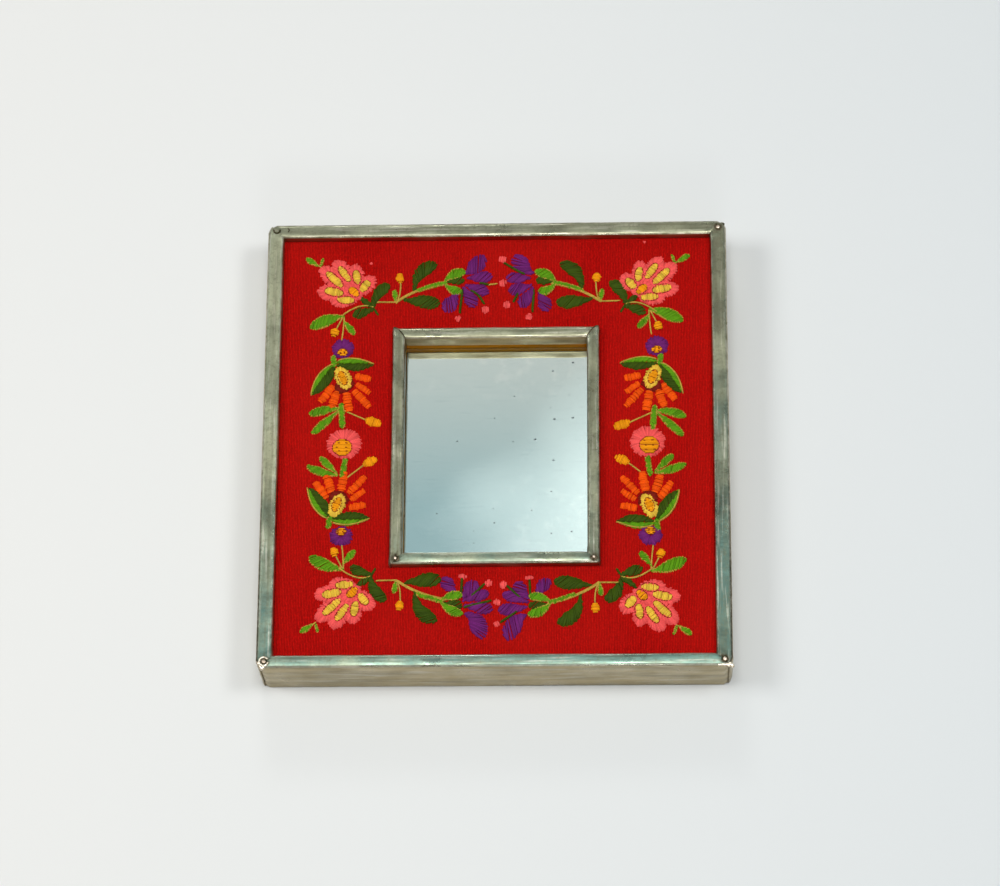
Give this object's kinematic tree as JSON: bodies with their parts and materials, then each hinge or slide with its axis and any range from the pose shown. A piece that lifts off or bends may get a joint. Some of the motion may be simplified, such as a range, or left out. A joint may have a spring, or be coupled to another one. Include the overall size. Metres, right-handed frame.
{
  "type": "tin framed mirror",
  "caption": "Small wall mirror sunk in a boxed frame of embroidered red cloth, with folded tin round its rim and its opening and a swinging ring to hang it by.",
  "frame": {"origin": "under the middle of the back, on the plane of the box's back edge", "axes": "+Z out of the mirror's face, +Y towards the top of the mirror as it hangs, +X to the right of someone who faces it"},
  "size_m": [0.31, 0.3146, 0.0443],
  "materials": {
    "tin": "hand-worked tin, wavy and slightly dull",
    "pine": "unfinished pine",
    "brown_pine": "stained pine",
    "plywood": "bare plywood",
    "hardboard": "bare hardboard",
    "card": "grey board",
    "red_cloth": "plain-woven red cotton",
    "mirror": "silvered glass with a few specks",
    "nail_steel": "small domed nail heads",
    "hanger_steel": "plated steel",
    "thread_gold": "satin stitch in cotton floss",
    "thread_yellow": "satin stitch in cotton floss",
    "thread_orange": "satin stitch in cotton floss",
    "thread_pink": "satin stitch in cotton floss",
    "thread_purple": "satin stitch in cotton floss",
    "thread_bright_green": "satin stitch in cotton floss",
    "thread_dark_green": "satin stitch in cotton floss",
    "thread_stem_green": "satin stitch in cotton floss",
    "thread_maroon": "satin stitch in cotton floss"
  },
  "bodies": {
    "box": {"tin_rim_top": "tin", "tin_rim_bottom": "tin", "tin_rim_left": "tin", "tin_rim_right": "tin", "rail_top": "pine", "rail_bottom": "pine", "rail_left": "pine", "rail_right": "pine", "tin_trim_top": "tin", "tin_trim_bottom": "tin", "tin_trim_left": "tin", "tin_trim_right": "tin", "well_slat_top": "brown_pine", "well_slat_bottom": "brown_pine", "well_slat_left": "brown_pine", "well_slat_right": "brown_pine", "batten_top": "pine", "batten_bottom": "pine", "batten_left": "pine", "batten_right": "pine", "rim_nails": "nail_steel", "trim_nails": "nail_steel", "back_nails": "nail_steel", "hanger_nails": "nail_steel", "front_panel": "plywood", "embroidered_cloth": "red_cloth", "mirror_glass": "mirror", "mirror_backing_card": "card", "back_board": "hardboard", "hanger_block": "pine", "hanger_strap": "hanger_steel", "embroidery_gold": "thread_gold", "embroidery_yellow": "thread_yellow", "embroidery_orange": "thread_orange", "embroidery_pink": "thread_pink", "embroidery_purple": "thread_purple", "embroidery_bright_green": "thread_bright_green", "embroidery_dark_green": "thread_dark_green", "embroidery_stem_green": "thread_stem_green", "embroidery_maroon": "thread_maroon"},
    "ring": {"hanger_ring": "hanger_steel"}
  },
  "joints": [
    {"name": "ring_swing", "type": "hinge", "parent": "box", "child": "ring", "pos_m": [0, 0.12375, 0.0148], "axis": [1, 0, 0], "range_deg": [-90, 90]}
  ]
}
